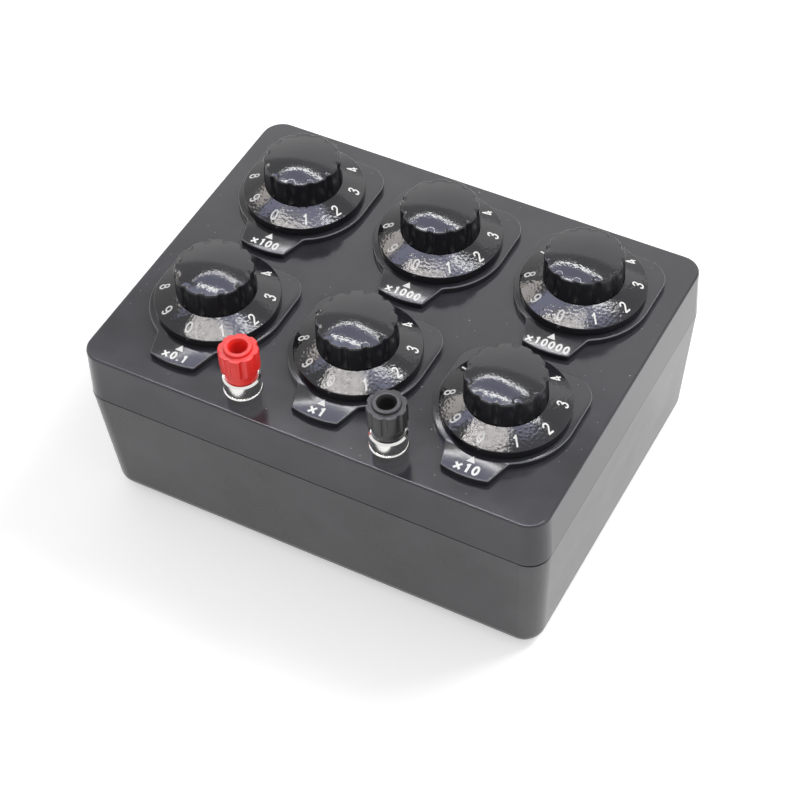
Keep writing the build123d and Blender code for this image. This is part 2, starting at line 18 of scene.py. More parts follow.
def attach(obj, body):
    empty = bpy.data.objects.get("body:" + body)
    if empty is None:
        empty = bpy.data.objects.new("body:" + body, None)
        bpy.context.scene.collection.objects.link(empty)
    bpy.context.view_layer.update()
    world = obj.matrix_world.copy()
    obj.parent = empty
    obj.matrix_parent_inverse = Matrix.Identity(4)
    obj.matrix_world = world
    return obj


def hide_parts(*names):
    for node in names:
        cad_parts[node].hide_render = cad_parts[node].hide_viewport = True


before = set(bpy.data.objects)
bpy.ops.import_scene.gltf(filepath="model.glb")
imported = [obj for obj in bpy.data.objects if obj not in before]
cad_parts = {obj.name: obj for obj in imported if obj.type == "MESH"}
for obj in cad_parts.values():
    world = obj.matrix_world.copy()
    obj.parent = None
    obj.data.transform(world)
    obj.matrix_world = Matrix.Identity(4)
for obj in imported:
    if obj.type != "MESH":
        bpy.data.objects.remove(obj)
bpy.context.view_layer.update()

log = logging.getLogger("decade_box")

MM = 0.001
PANEL_Z = 65.5 * MM
COLUMN_PITCH = 50.612 * MM
BACK_ROW_Y = 31.371 * MM
FRONT_ROW_Y = -23.830 * MM
POST_Y = -51.3 * MM
POSITIONS = 10
STEP = 360 / POSITIONS

Colour = tuple[float, float, float]
Point = tuple[float, float]
Triple = tuple[float, float, float]
Ring = list[Vector]

FULL: Point = (0.0, 1.0)


class Decade(Enum):
    """The six dials: the name their nodes carry and the mark on the plate's tab."""

    TENTHS = ("x0_1", "x0.1")
    UNITS = ("x1", "x1")
    TENS = ("x10", "x10")
    HUNDREDS = ("x100", "x100")
    THOUSANDS = ("x1000", "x1000")
    TEN_THOUSANDS = ("x10000", "x10000")

    @property
    def node(self) -> str:
        """The ending of the decade's node and body names."""
        return self.value[0]

    @property
    def mark(self) -> str:
        """The multiplier on the plate."""
        return self.value[1]


class Pole(Enum):
    """The two binding posts, by the colour of their caps."""

    RED = "red"
    BLACK = "black"


# Shapes


@dataclass(frozen=True)
class Corner:
    """A corner of a path, rounded with a radius."""

    x: float
    y: float
    round: float = 0.0


def arc_points(centre: Point, radius: float, start: float, end: float, count: int) -> list[Point]:
    """Points along an arc.

    Args:
        centre: The arc's centre.
        radius: Its radius.
        start: The first point's angle in degrees.
        end: The last point's angle in degrees.
        count: How many points.

    Returns:
        The points, from start to end.
    """
    angles = [math.radians(start + (end - start) * i / (count - 1)) for i in range(count)]
    return [(centre[0] + radius * math.cos(a), centre[1] + radius * math.sin(a)) for a in angles]


def rounded_path(corners: Sequence[Corner], closed: bool, steps: int = 6) -> list[Point]:
    """A path through corners, with each corner that has a radius replaced by an arc.

    Args:
        corners: The corners in order.
        closed: Whether the last corner joins the first.
        steps: Points on each arc, less one.

    Returns:
        The path's points.
    """
    path: list[Point] = []
    count = len(corners)
    for i, corner in enumerate(corners):
        at = Vector((corner.x, corner.y))
        if corner.round <= 0 or (not closed and i in (0, count - 1)):
            path.append((at.x, at.y))
            continue
        before, after = corners[i - 1], corners[(i + 1) % count]
        towards_before = (Vector((before.x, before.y)) - at).normalized()
        towards_after = (Vector((after.x, after.y)) - at).normalized()
        half = towards_before.angle(towards_after) / 2
        centre = at + (towards_before + towards_after).normalized() * corner.round / math.sin(half)
        start = at + towards_before * corner.round / math.tan(half) - centre
        end = at + towards_after * corner.round / math.tan(half) - centre
        for k in range(steps + 1):
            spoke = start.lerp(end, k / steps).normalized() * corner.round
            path.append((centre.x + spoke.x, centre.y + spoke.y))
    return path


def inset(outline: Sequence[Point], distance: float) -> list[Point]:
    """The outline moved inwards by a distance.

    Args:
        outline: A closed outline, counter-clockwise.
        distance: How far each side moves in.

    Returns:
        As many points as the outline has.
    """
    moved = []
    for i, point in enumerate(outline):
        at = Vector(point)
        before = (at - Vector(outline[i - 1])).normalized()
        after = (Vector(outline[(i + 1) % len(outline)]) - at).normalized()
        normal = Vector((-before.y - after.y, before.x + after.x)).normalized()
        reach = distance / max(0.4, normal.dot(Vector((-before.y, before.x))))
        moved.append((at.x + normal.x * reach, at.y + normal.y * reach))
    return moved


def skin(name: str, rings: Sequence[Ring], looped: bool = False, crease: float = 32.0) -> bpy.types.Mesh:
    """A closed skin over rings that have the same number of points.

    Args:
        name: The mesh's name.
        rings: The rings in order.
        looped: Whether the last ring joins the first; otherwise both ends are closed with a face.
        crease: Edges sharper than this, in degrees, stay sharp.

    Returns:
        The mesh, smooth between its creases.
    """
    bm = bmesh.new()
    loops = [[bm.verts.new(point) for point in ring] for ring in rings]
    pairs = list(zip(loops, loops[1:]))
    if looped:
        pairs.append((loops[-1], loops[0]))
    else:
        bm.faces.new(list(reversed(loops[0])))
        bm.faces.new(loops[-1])
    for low, high in pairs:
        for i in range(len(low)):
            k = (i + 1) % len(low)
            bm.faces.new((low[i], low[k], high[k], high[i]))
    return finished(name, bm, crease)


def finished(name: str, bm: bmesh.types.BMesh, crease: float) -> bpy.types.Mesh:
    """Turns an edited mesh into mesh data with its normals outwards.

    Args:
        name: The mesh's name.
        bm: The edited mesh, which is freed.
        crease: Edges sharper than this, in degrees, stay sharp.

    Returns:
        The mesh.
    """
    bmesh.ops.recalc_face_normals(bm, faces=bm.faces)
    mesh = bpy.data.meshes.new(name)
    bm.to_mesh(mesh)
    bm.free()
    mesh.shade_smooth()
    mesh.set_sharp_from_angle(angle=math.radians(crease))
    return mesh


def turned(name: str, profile: Sequence[Point], segments: int, looped: bool = False) -> bpy.types.Mesh:
    """A body of revolution about the upright axis.

    Args:
        name: The mesh's name.
        profile: Radius and height of each ring.
        segments: Points round each ring.
        looped: Whether the profile closes on itself.

    Returns:
        The mesh.
    """
    spokes = [2 * math.pi * i / segments for i in range(segments)]
    rings = [[Vector((r * math.cos(a), r * math.sin(a), z)) for a in spokes] for r, z in profile]
    return skin(name, rings, looped)


def slab(name: str, outline: Sequence[Point], low: float, high: float, edge: float) -> bpy.types.Mesh:
    """A flat piece with a rounded top edge.

    Args:
        name: The mesh's name.
        outline: Its outline, counter-clockwise.
        low: Height of the underside.
        high: Height of the top.
        edge: Radius of the top edge.

    Returns:
        The mesh.
    """
    rings = [[Vector((x, y, low)) for x, y in outline]]
    for k in range(5):
        turn = math.radians(90 * k / 4)
        level = high - edge + edge * math.sin(turn)
        rings.append([Vector((x, y, level)) for x, y in inset(outline, edge * (1 - math.cos(turn)))])
    return skin(name, rings)


@dataclass(frozen=True)
class Stroke:
    """One pen stroke of a figure: points in a box half as wide as it is tall, with y from 0 to 1."""

    points: tuple[Point, ...]
    smooth: bool = False
    closed: bool = False

    def line(self, steps: int = 6) -> list[Point]:
        """The stroke's middle line.

        Args:
            steps: Points on each span of a smooth stroke.

        Returns:
            The points along it.
        """
        if not self.smooth:
            return list(self.points)
        points = [Vector(p) for p in self.points]
        count = len(points)
        path: list[Point] = []
        for i in range(count if self.closed else count - 1):
            a = points[i - 1] if i or self.closed else points[0]
            b, c = points[i], points[(i + 1) % count]
            d = points[(i + 2) % count] if self.closed else points[min(i + 2, count - 1)]
            for k in range(steps):
                t = k / steps
                at = b * 2 + (c - a) * t
                at += (a * 2 - b * 5 + c * 4 - d) * t * t
                at += (b * 3 - a - c * 3 + d) * t**3
                path.append((at.x / 2, at.y / 2))
        if not self.closed:
            path.append((points[-1].x, points[-1].y))
        return path


def oval(centre: float, half_width: float, half_height: float) -> Stroke:
    """A closed round stroke about the figure's middle line.

    Args:
        centre: Height of its middle.
        half_width: Half its width.
        half_height: Half its height.

    Returns:
        The stroke.
    """
    spokes = arc_points((0.0, 0.0), 1.0, 0.0, 330.0, 12)
    points = tuple((half_width * x, centre + half_height * y) for x, y in spokes)
    return Stroke(points, smooth=True, closed=True)


def turned_over(stroke: Stroke) -> Stroke:
    """The stroke turned by half a turn, as a 9 is a 6 turned over."""
    return Stroke(tuple((-x, 1 - y) for x, y in stroke.points), stroke.smooth, stroke.closed)


def curve(*points: Point) -> Stroke:
    """A smooth open stroke through points."""
    return Stroke(points, smooth=True)


def straight(*points: Point) -> Stroke:
    """A stroke of straight lines through points."""
    return Stroke(points)


SIX = (
    oval(0.30, 0.25, 0.30),
    curve((0.22, 0.84), (0.13, 0.97), (0.0, 1.0), (-0.15, 0.92), (-0.24, 0.68), (-0.25, 0.34)),
)
STROKES: dict[str, tuple[Stroke, ...]] = {
    "0": (oval(0.5, 0.25, 0.5),),
    "1": (straight((0.05, -0.07), (0.05, 1.07)), curve((0.05, 0.99), (-0.06, 0.86), (-0.19, 0.78))),
    "2": (
        curve(
            (-0.24, 0.72), (-0.18, 0.92), (0.0, 1.0), (0.18, 0.93), (0.24, 0.75), (0.17, 0.54), (-0.02, 0.31),
            (-0.24, 0.02),
        ),
        straight((-0.31, 0.0), (0.3, 0.0)),
    ),
    "3": (
        curve(
            (-0.22, 0.79), (-0.14, 0.96), (0.02, 1.0), (0.17, 0.93), (0.21, 0.77), (0.13, 0.59),
            (-0.06, 0.54),
        ),
        curve(
            (-0.06, 0.54), (0.15, 0.49), (0.25, 0.3), (0.18, 0.08), (0.0, 0.0), (-0.17, 0.05),
            (-0.25, 0.23),
        ),
    ),
    "4": (
        straight((0.12, -0.07), (0.12, 1.07)),
        straight((0.1, 1.0), (-0.29, 0.3)),
        straight((-0.33, 0.27), (0.32, 0.27)),
    ),
    "5": (
        straight((0.27, 1.0), (-0.19, 1.0)),
        straight((-0.16, 1.0), (-0.22, 0.52)),
        curve(
            (-0.22, 0.55), (-0.05, 0.63), (0.12, 0.59), (0.25, 0.38), (0.21, 0.12), (0.02, 0.0),
            (-0.17, 0.05), (-0.25, 0.22),
        ),
    ),
    "6": SIX,
    "7": (straight((-0.29, 1.0), (0.28, 1.0)), curve((0.24, 0.98), (0.05, 0.62), (-0.08, -0.07))),
    "8": (oval(0.77, 0.21, 0.23), oval(0.27, 0.25, 0.27)),
    "9": tuple(turned_over(stroke) for stroke in SIX),
    "x": (straight((-0.35, -0.02), (0.33, 0.74)), straight((-0.35, 0.74), (0.33, -0.02))),
    ".": (straight((0.0, -0.1), (0.0, 0.1)),),
}
ADVANCE: dict[str, float] = {".": 0.42, "1": 0.70, "x": 0.86}
STROKE_DROP = 0.15


def lettering(text: str, height: float, pen: float, spread: float = 0.74) -> bmesh.types.BMesh:
    """Figures lying flat, centred on the origin, with a front at z = 1 and a back at z = -1.

    Args:
        text: The figures.
        height: How tall a figure is.
        pen: How wide its strokes are.
        spread: The room that each figure takes, as a share of its height.

    Returns:
        The figures as an edited mesh.
    """
    bm = bmesh.new()
    rooms = [ADVANCE.get(letter, spread) * height for letter in text]
    left = -sum(rooms) / 2
    tall = height - pen
    for letter, room in zip(text, rooms):
        middle = left + room / 2
        left += room
        for k, stroke in enumerate(STROKES[letter]):
            line = [Vector((middle + x * tall, (y - 0.5) * tall)) for x, y in stroke.line()]
            ribbon(bm, line, pen / 2, stroke.closed, 1.0 - STROKE_DROP * k)
    return bm


def ribbon(bm: bmesh.types.BMesh, line: Sequence[Vector], half: float, closed: bool, top: float) -> None:
    """Adds a flat stroke to an edited mesh.

    Args:
        bm: The edited mesh.
        line: The stroke's middle line.
        half: Half its width.
        closed: Whether it joins its own start.
        top: The level of its front, so that crossing strokes don't share one.
    """
    count = len(line)
    rings = []
    for i, at in enumerate(line):
        before = line[i - 1] if i or closed else at
        after = line[(i + 1) % count] if i < count - 1 or closed else at
        along = (after - before).normalized()
        across = Vector((-along.y, along.x)) * half
        sides = [at + across, at - across]
        ring = [(*sides[0], top), (*sides[1], top), (*sides[1], -1.0), (*sides[0], -1.0)]
        rings.append([bm.verts.new(point) for point in ring])
    pairs = list(zip(rings, rings[1:]))
    if closed:
        pairs.append((rings[-1], rings[0]))
    else:
        bm.faces.new(list(reversed(rings[0])))
        bm.faces.new(rings[-1])
    for low, high in pairs:
        for k in range(4):
            bm.faces.new((low[k], low[(k + 1) % 4], high[(k + 1) % 4], high[k]))


# Finishes


class Bench:
    """Sets out and joins the nodes of one material."""

    def __init__(self, name: str) -> None:
        """Starts an empty material.

        Args:
            name: The material's name.
        """
        self.material = bpy.data.materials.new(name)
        self.material.use_nodes = True
        self.tree = self.material.node_tree
        self.tree.nodes.clear()
        self.place = self.add("ShaderNodeTexCoord").outputs["Object"]

    def add(self, kind: str, inputs: dict | None = None, **settings: object) -> bpy.types.Node:
        """Adds a node.

        Args:
            kind: The node's type.
            inputs: For each input, a value or the socket that feeds it.
            settings: The node's own settings.

        Returns:
            The node.
        """
        node = self.tree.nodes.new(kind)
        for key, value in settings.items():
            setattr(node, key, value)
        for key, value in (inputs or {}).items():
            if isinstance(value, bpy.types.NodeSocket):
                self.tree.links.new(value, node.inputs[key])
            else:
                node.inputs[key].default_value = value
        return node

    def noise(self, scale: float, detail: float = 2.0, along: Triple | None = None) -> bpy.types.NodeSocket:
        """A noise over the piece.

        Args:
            scale: Waves per metre.
            detail: How many finer layers.
            along: How much the noise is drawn together along each axis, if it isn't even.

        Returns:
            Its value.
        """
        place = self.place
        if along:
            place = self.add("ShaderNodeMapping", {"Vector": place, "Scale": along}).outputs["Vector"]
        inputs = {"Vector": place, "Scale": scale, "Detail": detail}
        return self.add("ShaderNodeTexNoise", inputs).outputs["Fac"]

    def ranged(self, value: bpy.types.NodeSocket, ends: Point, results: Point) -> bpy.types.NodeSocket:
        """A value carried from one range to another, held at its ends.

        Args:
            value: The value.
            ends: The range it comes in.
            results: What the ends become.

        Returns:
            The new value.
        """
        inputs = {"Value": value, "From Min": ends[0], "From Max": ends[1]}
        inputs |= {"To Min": results[0], "To Max": results[1]}
        return self.add("ShaderNodeMapRange", inputs).outputs["Result"]

    def combined(self, operation: str, first: object, second: object) -> bpy.types.NodeSocket:
        """One step of arithmetic.

        Args:
            operation: The Math node's operation.
            first: A value or socket.
            second: A value or socket.

        Returns:
            The result.
        """
        return self.add("ShaderNodeMath", {0: first, 1: second}, operation=operation).outputs["Value"]

    def mixed(self, share: bpy.types.NodeSocket, first: object, second: object) -> bpy.types.NodeSocket:
        """A colour between two.

        Args:
            share: 0 for the first, 1 for the second.
            first: A colour or socket.
            second: A colour or socket.

        Returns:
            The colour.
        """
        node = self.add("ShaderNodeMix", data_type="RGBA")
        colours = [s for s in node.inputs if s.type == "RGBA"]
        self.tree.links.new(share, node.inputs[0])
        for socket, value in zip(colours, (first, second)):
            if isinstance(value, bpy.types.NodeSocket):
                self.tree.links.new(value, socket)
            else:
                socket.default_value = (*value, 1.0)
        return next(s for s in node.outputs if s.type == "RGBA")

    def relief(
        self, height: bpy.types.NodeSocket, depth: float, strength: object = 1.0
    ) -> bpy.types.NodeSocket:
        """A bumped normal.

        Args:
            height: The relief, 0 to 1.
            depth: How deep it is, in metres.
            strength: How much of it shows, a value or socket.

        Returns:
            The normal.
        """
        inputs = {"Height": height, "Distance": depth, "Strength": strength}
        return self.add("ShaderNodeBump", inputs).outputs["Normal"]

    def specks(self, scale: float, size: float, share: float) -> bpy.types.NodeSocket:
        """Small specks scattered over what lies level.

        Args:
            scale: Cells per metre.
            size: A speck's radius as a share of its cell.
            share: The share of the cells that hold one.

        Returns:
            1 on a speck, 0 elsewhere.
        """
        inputs = {"Vector": self.place, "Scale": scale}
        cells = self.add("ShaderNodeTexVoronoi", inputs, voronoi_dimensions="2D")
        near = self.ranged(cells.outputs["Distance"], (size * 0.5, size), (1.0, 0.0))
        pick = self.add("ShaderNodeSeparateColor", {"Color": cells.outputs["Color"]}).outputs["Red"]
        chosen = self.combined("LESS_THAN", pick, share)
        return self.combined("MULTIPLY", near, chosen)

    def facing_up(self) -> bpy.types.NodeSocket:
        """1 on a face that looks up, 0 on a wall."""
        normal = self.add("ShaderNodeNewGeometry").outputs["True Normal"]
        upward = self.add("ShaderNodeSeparateXYZ", {"Vector": normal}).outputs["Z"]
        return self.ranged(upward, (0.6, 0.95), FULL)

    def shaded(self, inputs: dict) -> bpy.types.Material:
        """Ends the material with one shader.

        Args:
            inputs: The shader's inputs.

        Returns:
            The material.
        """
        shader = self.add("ShaderNodeBsdfPrincipled", inputs)
        self.add("ShaderNodeOutputMaterial", {"Surface": shader.outputs["BSDF"]})
        return self.material


# Dust: cells per metre, a speck's radius in its cell, and the share of the cells that hold one
FINE_DUST: Triple = (260.0, 0.04, 0.07)
COARSE_DUST: Triple = (90.0, 0.026, 0.14)
DUST_GREY: Colour = (0.32, 0.32, 0.31)


@dataclass(frozen=True)
class MouldedPlastic:
    """Moulded plastic with a faint orange peel, smudges and a little dust on what faces up."""

    name: str
    colour: Colour
    roughness: float
    peel: float = 6e-6
    peel_scale: float = 900.0
    peel_detail: float = 2.0
    wall_peel: float = 1.0
    wall_roughness: float = 0.0
    smudge: float = 0.08
    dust: float = 0.0
    glow: float = 0.0

    def material(self) -> bpy.types.Material:
        """Builds the finish."""
        bench = Bench(self.name)
        clouds = bench.noise(55.0, 4.0)
        grain = bench.noise(self.peel_scale, self.peel_detail)
        level = bench.facing_up()
        worn = tuple(min(1.0, c * 1.35 + 0.004) for c in self.colour)
        colour = bench.mixed(bench.ranged(clouds, (0.35, 0.7), FULL), self.colour, worn)
        rough = bench.ranged(clouds, (0.3, 0.75), (self.roughness, self.roughness + self.smudge))
        if self.dust > 0:
            fine = bench.specks(*FINE_DUST[:2], FINE_DUST[2] * self.dust)
            coarse = bench.specks(*COARSE_DUST[:2], COARSE_DUST[2] * self.dust)
            specks = bench.combined("MULTIPLY", bench.combined("MAXIMUM", fine, coarse), level)
            colour = bench.mixed(specks, colour, DUST_GREY)
            rough = bench.combined("MAXIMUM", rough, specks)
        if self.wall_roughness > 0:
            on_walls = bench.ranged(level, (0.0, 0.5), (self.wall_roughness, 0.0))
            rough = bench.combined("MAXIMUM", rough, on_walls)
        strength = bench.ranged(level, FULL, (self.wall_peel, 1.0))
        inputs = {
            "Base Color": colour,
            "Roughness": rough,
            "Normal": bench.relief(grain, self.peel, strength),
        }
        if self.glow > 0:
            inputs["Subsurface Weight"] = self.glow
            inputs["Subsurface Radius"] = (0.002, 0.0004, 0.0003)
        return bench.shaded(inputs)


@dataclass(frozen=True)
class TurnedMetal:
    """Metal with fine turning lines round the upright axis, a little tarnish and wear."""

    name: str
    colour: Colour
    roughness: float
    lines: float = 3e-6
    tarnish: float = 0.15

    def material(self) -> bpy.types.Material:
        """Builds the finish."""
        bench = Bench(self.name)
        turning = bench.noise(30.0, 2.0, (1.0, 1.0, 110.0))
        clouds = bench.noise(180.0, 4.0)
        dull = tuple(c * (1.0 - self.tarnish) for c in self.colour)
        colour = bench.mixed(bench.ranged(clouds, (0.4, 0.75), FULL), self.colour, dull)
        rough = bench.ranged(clouds, (0.3, 0.8), (self.roughness, self.roughness + 0.12))
        return bench.shaded({
            "Base Color": colour,
            "Metallic": 1.0,
            "Roughness": rough,
            "Normal": bench.relief(turning, self.lines),
        })


@dataclass(frozen=True)
class FilledMark:
    """Paint that fills a mark: nearly white, a little uneven."""

    name: str
    colour: Colour = (0.86, 0.86, 0.84)

    def material(self) -> bpy.types.Material:
        """Builds the finish."""
        bench = Bench(self.name)
        thin = bench.noise(1400.0, 3.0)
        faded = tuple(c * 0.78 for c in self.colour)
        colour = bench.mixed(bench.ranged(thin, (0.5, 0.8), FULL), self.colour, faded)
        rough = bench.ranged(thin, (0.3, 0.7), (0.4, 0.6))
        return bench.shaded({"Base Color": colour, "Roughness": rough, "Normal": bench.relief(thin, 4e-6)})


@dataclass(frozen=True)
class Laminate:
    """Insulating board: fibres pressed in resin, drawn along one axis."""

    name: str
    colour: Colour
    fibre: float = 600.0
    roughness: float = 0.55
    relief: float = 1.5e-5

    def material(self) -> bpy.types.Material:
        """Builds the finish."""
        bench = Bench(self.name)
        fibres = bench.noise(self.fibre, 5.0, (1.0, 0.12, 1.0))
        pale = tuple(min(1.0, c * 1.6) for c in self.colour)
        colour = bench.mixed(bench.ranged(fibres, (0.35, 0.7), FULL), self.colour, pale)
        rough = bench.ranged(fibres, (0.3, 0.7), (self.roughness, self.roughness + 0.15))
        normal = bench.relief(fibres, self.relief)
        return bench.shaded({"Base Color": colour, "Roughness": rough, "Normal": normal})


@dataclass(frozen=True)
class WoundWire:
    """Fine varnished wire, wound turn beside turn, seen as ridges one above the other; the valleys are
    painted shade.
    """

    name: str
    colour: Colour
    wave_scale: float = 412.6984127

    def material(self) -> bpy.types.Material:
        """Builds the finish."""
        bench = Bench(self.name)
        inputs = {"Vector": bench.place, "Scale": self.wave_scale}
        wave = bench.add("ShaderNodeTexWave", inputs, bands_direction="Z")
        # The valleys between turns take a darker copy of the wire's colour: painted shade.
        valley_shade = tuple(c * 0.35 for c in self.colour)
        colour = bench.mixed(bench.ranged(wave.outputs["Fac"], (0.1, 0.6), FULL), valley_shade, self.colour)
        return bench.shaded({
            "Base Color": colour,
            "Roughness": bench.ranged(bench.noise(300.0), (0.3, 0.7), (0.3, 0.45)),
            "Metallic": 0.6,
            "Normal": bench.relief(wave.outputs["Fac"], 6e-5),
        })


@dataclass(frozen=True)
class Rubber:
    """Matt rubber with dust ground into its grain."""

    name: str
    colour: Colour = (0.022, 0.022, 0.022)

    def material(self) -> bpy.types.Material:
        """Builds the finish."""
        bench = Bench(self.name)
        grain = bench.noise(1600.0, 4.0)
        dusty = tuple(c * 2.6 for c in self.colour)
        colour = bench.mixed(bench.ranged(grain, (0.5, 0.8), FULL), self.colour, dusty)
        rough = bench.ranged(grain, (0.3, 0.7), (0.7, 0.9))
        return bench.shaded({"Base Color": colour, "Roughness": rough, "Normal": bench.relief(grain, 2e-5)})


def dress(node: str, material: bpy.types.Material) -> None:
    """Gives a kept node its finish.

    Args:
        node: The node's name.
        material: The finish.
    """
    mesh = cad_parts[node].data
    mesh.materials.clear()
    mesh.materials.append(material)


def stand(
    name: str,
    mesh: bpy.types.Mesh,
    place: Point,
    turn: float,
    body: str,
    material: bpy.types.Material,
    stands_for: Sequence[str] = (),
) -> bpy.types.Object:
    """Puts a built piece on the panel.

    Args:
        name: The piece's name.
        mesh: Its mesh, made round its own axis.
        place: Where the axis stands.
        turn: How far it is turned, in degrees.
        body: The body that it moves with.
        material: The finish.
        stands_for: The nodes that it replaces.

    Returns:
        The piece.
    """
    piece = bpy.data.objects.new(name, mesh)
    bpy.context.scene.collection.objects.link(piece)
    piece.location = (place[0], place[1], PANEL_Z)
    piece.rotation_euler = (0.0, 0.0, math.radians(turn))
    if not mesh.materials:
        mesh.materials.append(material)
    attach(piece, body)
    if stands_for:
        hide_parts(*stands_for)
    return piece


# Sub-assemblies


@dataclass
class Case:
    """The cover, the lower case, and the screws and feet under them."""

    cover: MouldedPlastic = MouldedPlastic("cover_black", (0.028, 0.028, 0.034), 0.1, smudge=0.05, dust=1.0)
    lower: MouldedPlastic = MouldedPlastic("lower_case_black", (0.035, 0.034, 0.038), 0.22, smudge=0.05)
    screws: TurnedMetal = TurnedMetal("screw_zinc", (0.42, 0.42, 0.43), 0.35)
    feet: Rubber = Rubber("foot_rubber")

    def build(self) -> None:
        """Dresses the case's nodes."""
        for node, finish in (
            ("top_cover", self.cover),
            ("lower_case", self.lower),
            ("case_screws", self.screws),
            ("rubber_feet", self.feet),
        ):
            dress(node, finish.material())
            log.info("case: %s dressed", node)


@dataclass
class ScalePlate:
    """The raised plate under a dial, with its tab, pointer triangle and multiplier."""

    radius: float = 22.1 * MM
    back: float = 20.8 * MM
    back_corner: float = 9.0 * MM
    thickness: float = 2.2 * MM
    edge: float = 0.35 * MM
    tab_reach: float = 29.3 * MM
    tab_bulge: float = 1.1 * MM
    tab_half_root: float = 10.5 * MM
    tab_half_front: float = 7.9 * MM
    tab_corner: float = 0.8 * MM
    tab_blend: float = 2.0 * MM
    triangle_apex: float = -21.4 * MM
    triangle_base: float = -23.9 * MM
    triangle_half: float = 1.4 * MM
    mark_middle: float = -26.2 * MM
    mark_height: float = 3.8 * MM
    mark_pen: float = 0.78 * MM
    long_mark: int = 4
    long_mark_size: float = 0.88
    relief: float = 0.03 * MM
    edge_slopes: Point = (0.1, 0.95)
    root_turn: float = 9.0
    tab_shares: tuple[float, ...] = (-0.6, -0.2, 0.2, 0.6)

    def outline(self) -> list[Point]:
        """The plate's outline, counter-clockwise from the tab's left root.

        Returns:
            Its points.
        """
        root = -math.sqrt(self.radius**2 - self.tab_half_root**2)
        first = math.degrees(math.atan2(root, self.tab_half_root)) + self.root_turn
        front = self.tab_bulge - self.tab_reach
        tab = [Corner(-self.tab_half_root, root, self.tab_blend)]
        tab += [Corner(-self.tab_half_front, front, self.tab_corner)]
        for share in self.tab_shares:
            depth = -self.tab_reach + self.tab_bulge * share * share
            tab += [Corner(self.tab_half_front * share, depth)]
        tab += [Corner(self.tab_half_front, front, self.tab_corner)]
        tab += [Corner(self.tab_half_root, root, self.tab_blend)]
        right = [Corner(*p) for p in arc_points((0.0, 0.0), self.radius, first, 0.0, 24)]
        right += [Corner(self.radius, self.back, self.back_corner)]
        left = [Corner(-c.x, c.y, c.round) for c in reversed(right)]
        return rounded_path(tab + right + left, closed=True, steps=10)

    def triangle(self) -> bmesh.types.BMesh:
        """The pointer triangle as a thin raised shape."""
        bm = bmesh.new()
        corners = [
            (0.0, self.triangle_apex),
            (-self.triangle_half, self.triangle_base),
            (self.triangle_half, self.triangle_base),
        ]
        face = bm.faces.new([bm.verts.new((x, y, -1.0)) for x, y in corners])
        top = bmesh.ops.extrude_face_region(bm, geom=[face])
        for v in (g for g in top["geom"] if isinstance(g, bmesh.types.BMVert)):
            v.co.z = 1.0
        return bm

    def marks(self, decade: Decade) -> bpy.types.Mesh:
        """The triangle and the multiplier, standing a hair above the plate.

        Args:
            decade: The dial's decade.

        Returns:
            The mesh.
        """
        size = self.long_mark_size if len(decade.mark) >= self.long_mark else 1.0
        bm = lettering(decade.mark, self.mark_height * size, self.mark_pen * size)
        for v in bm.verts:
            v.co.y += self.mark_middle
        pointer = self.triangle()
        scratch = bpy.data.meshes.new("pointer")
        pointer.to_mesh(scratch)
        pointer.free()
        bm.from_mesh(scratch)
        bpy.data.meshes.remove(scratch)
        for v in bm.verts:
            v.co.z = self.thickness + v.co.z * self.relief
        return finished(f"marks_{decade.node}", bm, 30.0)

    def build(self, decade: Decade, place: Point, finishes: dict[str, bpy.types.Material]) -> None:
        """Builds one plate, its rounded top edge painted a lighter grey as a highlight, and its marks.

        Args:
            decade: The dial's decade.
            place: The dial's axis.
            finishes: The finishes by name.
        """
        node = f"scale_plate_{decade.node}"
        mesh = slab(node, self.outline(), 0.0, self.thickness, self.edge)
        mesh.materials.append(finishes["plate"])
        mesh.materials.append(finishes["plate_edge"])
        # The rounded top edge takes the lighter grey finish: a painted highlight.
        for face in mesh.polygons:
            face.material_index = int(self.edge_slopes[0] < face.normal.z < self.edge_slopes[1])
        stand(f"plate_{decade.node}", mesh, place, 0.0, "case", finishes["plate"], [node])
        marks = self.marks(decade)
        stand(f"plate_marks_{decade.node}", marks, place, 0.0, "case", finishes["paint"])
        log.info("plate %s built", decade.node)


